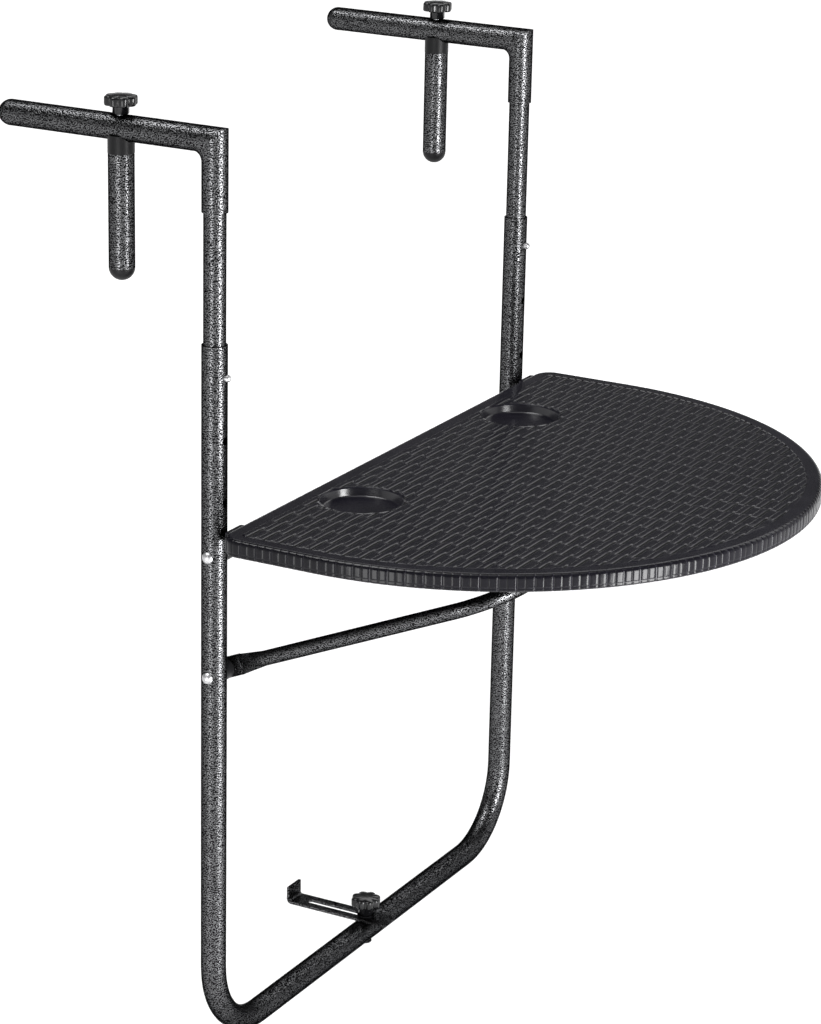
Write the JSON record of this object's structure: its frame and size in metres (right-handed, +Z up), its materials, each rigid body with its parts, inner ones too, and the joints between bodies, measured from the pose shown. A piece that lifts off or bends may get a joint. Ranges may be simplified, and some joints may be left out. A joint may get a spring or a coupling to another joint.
{
  "type": "hanging balcony table",
  "caption": "Fold-down half-round table that hangs on a railing from two height-adjustable tube hooks, with clamp pegs, a folding brace and a standoff bracket.",
  "frame": {"origin": "midway between the two hooks, on the undersides of their arms and in the plane of the uprights' rear faces: the railing's inner top edge", "axes": "+Z up, +X from the railing towards the user and along the opened top, +Y along the railing (left hook at -Y)"},
  "size_m": [0.619, 0.6, 0.8465],
  "materials": {
    "hammertone_steel": "hammertone powder coat",
    "table_plastic": "satin, moulded weave",
    "black_plastic": "satin",
    "knob_plastic": "semi-gloss",
    "bright_steel": "bright nickel",
    "zinc_steel": "zinc plated"
  },
  "bodies": {
    "left_hook": {"left_hook_arm": "hammertone_steel", "left_hook_socket": "hammertone_steel", "left_arm_end_cap": "hammertone_steel", "left_extension_tube": "hammertone_steel"},
    "right_hook": {"right_hook_arm": "hammertone_steel", "right_hook_socket": "hammertone_steel", "right_arm_end_cap": "hammertone_steel", "right_extension_tube": "hammertone_steel"},
    "frame": {"u_frame": "hammertone_steel", "table_hinge_rivets": "bright_steel", "brace_pivot_rivets": "bright_steel", "table_hinge_spacers": "black_plastic", "brace_pivot_spacers": "black_plastic", "bracket_bolt": "zinc_steel"},
    "table": {"table_top": "table_plastic", "left_hinge_plate": "hammertone_steel", "right_hinge_plate": "hammertone_steel", "hinge_plate_screws": "zinc_steel", "left_bar_catch": "black_plastic", "right_bar_catch": "black_plastic", "catch_screws": "zinc_steel"},
    "brace": {"brace_tube": "hammertone_steel"},
    "bracket": {"standoff_bracket": "hammertone_steel"},
    "bracket_knob": {"bracket_knob": "knob_plastic", "bracket_knob_insert": "zinc_steel", "bracket_washer": "zinc_steel"},
    "left_button": {"left_snap_clip": "bright_steel"},
    "left_peg": {"left_peg_tube": "hammertone_steel", "left_peg_saddle": "black_plastic", "left_peg_nut": "zinc_steel", "left_peg_end_cap": "black_plastic"},
    "left_knob": {"left_clamp_knob": "knob_plastic", "left_clamp_stud": "zinc_steel"},
    "right_button": {"right_snap_clip": "bright_steel"},
    "right_peg": {"right_peg_tube": "hammertone_steel", "right_peg_saddle": "black_plastic", "right_peg_nut": "zinc_steel", "right_peg_end_cap": "black_plastic"},
    "right_knob": {"right_clamp_knob": "knob_plastic", "right_clamp_stud": "zinc_steel"}
  },
  "joints": [
    {"name": "height_adjust", "type": "slide", "parent": "left_hook", "child": "frame", "axis": [0, 0, 1], "range_m": [0, 0.108]},
    {"name": "right_hook_slide", "type": "slide", "parent": "frame", "child": "right_hook", "axis": [0, 0, -1], "range_m": [0, 0.108]},
    {"name": "table_fold", "type": "hinge", "parent": "frame", "child": "table", "pos_m": [0.011, 0, -0.341], "axis": [0, 1, 0], "range_deg": [0, 90]},
    {"name": "brace_swing", "type": "hinge", "parent": "frame", "child": "brace", "pos_m": [0.011, 0, -0.4484], "axis": [0, 1, 0], "range_deg": [0, 113.1]},
    {"name": "bracket_slide", "type": "slide", "parent": "frame", "child": "bracket", "axis": [1, 0, 0], "range_m": [-0.005, 0.059]},
    {"name": "bracket_knob_turn", "type": "hinge", "parent": "frame", "child": "bracket_knob", "pos_m": [0.011, 0, -0.775], "axis": [0, 0, 1], "continuous": true},
    {"name": "left_button_press", "type": "slide", "parent": "left_hook", "child": "left_button", "axis": [-1, 0, 0], "range_m": [0, 0.0045], "stiffness_N_per_m": 1500, "springref_m": -0.002, "deforming": ["left_snap_clip"]},
    {"name": "left_knob_turn", "type": "hinge", "parent": "left_hook", "child": "left_knob", "pos_m": [-0.079, -0.272, 0.022], "axis": [0, 0, 1], "range_deg": [0, 720]},
    {"name": "left_peg_drop", "type": "slide", "parent": "left_hook", "child": "left_peg", "axis": [0, 0, -1], "range_m": [0, 0.0025]},
    {"name": "right_button_press", "type": "slide", "parent": "right_hook", "child": "right_button", "axis": [-1, 0, 0], "range_m": [0, 0.0045], "stiffness_N_per_m": 1500, "springref_m": -0.002, "deforming": ["right_snap_clip"]},
    {"name": "right_knob_turn", "type": "hinge", "parent": "right_hook", "child": "right_knob", "pos_m": [-0.079, 0.272, 0.022], "axis": [0, 0, 1], "range_deg": [0, 720]},
    {"name": "right_peg_drop", "type": "slide", "parent": "right_hook", "child": "right_peg", "axis": [0, 0, -1], "range_m": [0, 0.0025]}
  ],
  "couplings": [
    {"joint": "right_hook_slide", "follows": "height_adjust", "ratio": 1},
    {"joint": "brace_swing", "follows": "table_fold", "ratio": 1.2563},
    {"joint": "left_knob_turn", "follows": "left_peg_drop", "rad_per_m": 5026.5},
    {"joint": "right_knob_turn", "follows": "right_peg_drop", "rad_per_m": 5026.5}
  ]
}
